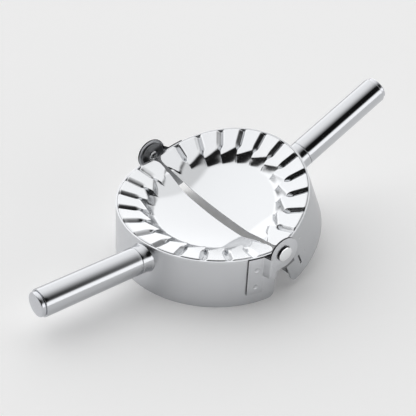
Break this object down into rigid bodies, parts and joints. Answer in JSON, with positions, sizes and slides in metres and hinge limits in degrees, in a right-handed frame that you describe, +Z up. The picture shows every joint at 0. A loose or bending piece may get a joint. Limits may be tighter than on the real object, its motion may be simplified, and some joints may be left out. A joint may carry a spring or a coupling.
{
  "type": "empanada press",
  "caption": "Hinged stainless steel press for filled dough pockets: half rings with pleated bowls that fold together by tubular handles.",
  "frame": {"origin": "on the plane the left half stands on, below the middle of the overall length", "axes": "+X along the handles towards the raised right half, +Y along the hinge line away from the viewer of the picture, +Z up"},
  "size_m": [0.2182, 0.1119, 0.0701],
  "materials": {
    "band_steel": "satin brushed",
    "bowl_steel": "mirror polished",
    "hinge_steel": "satin",
    "handle_steel": "polished",
    "plug_steel": "turned, polished",
    "inner_steel": "plain",
    "rivet_steel": "polished"
  },
  "bodies": {
    "left_half": {"left_band": "band_steel", "left_bowl": "bowl_steel", "left_front_leaf": "hinge_steel", "left_back_lap": "hinge_steel", "left_neck": "handle_steel", "left_tube": "handle_steel", "left_end_plug": "plug_steel", "left_core": "inner_steel", "left_screw": "inner_steel", "left_washer": "inner_steel", "front_rivet": "rivet_steel", "back_rivet": "rivet_steel"},
    "right_half": {"right_band": "band_steel", "right_bowl": "bowl_steel", "right_front_lap": "hinge_steel", "right_back_leaf": "hinge_steel", "right_neck": "handle_steel", "right_tube": "handle_steel", "right_end_plug": "plug_steel", "right_core": "inner_steel", "right_screw": "inner_steel", "right_washer": "inner_steel"}
  },
  "joints": [
    {"name": "fold", "type": "hinge", "parent": "left_half", "child": "right_half", "pos_m": [0.00145, 0, 0.0288], "axis": [0, -1, 0], "range_deg": [-24, 155]}
  ]
}
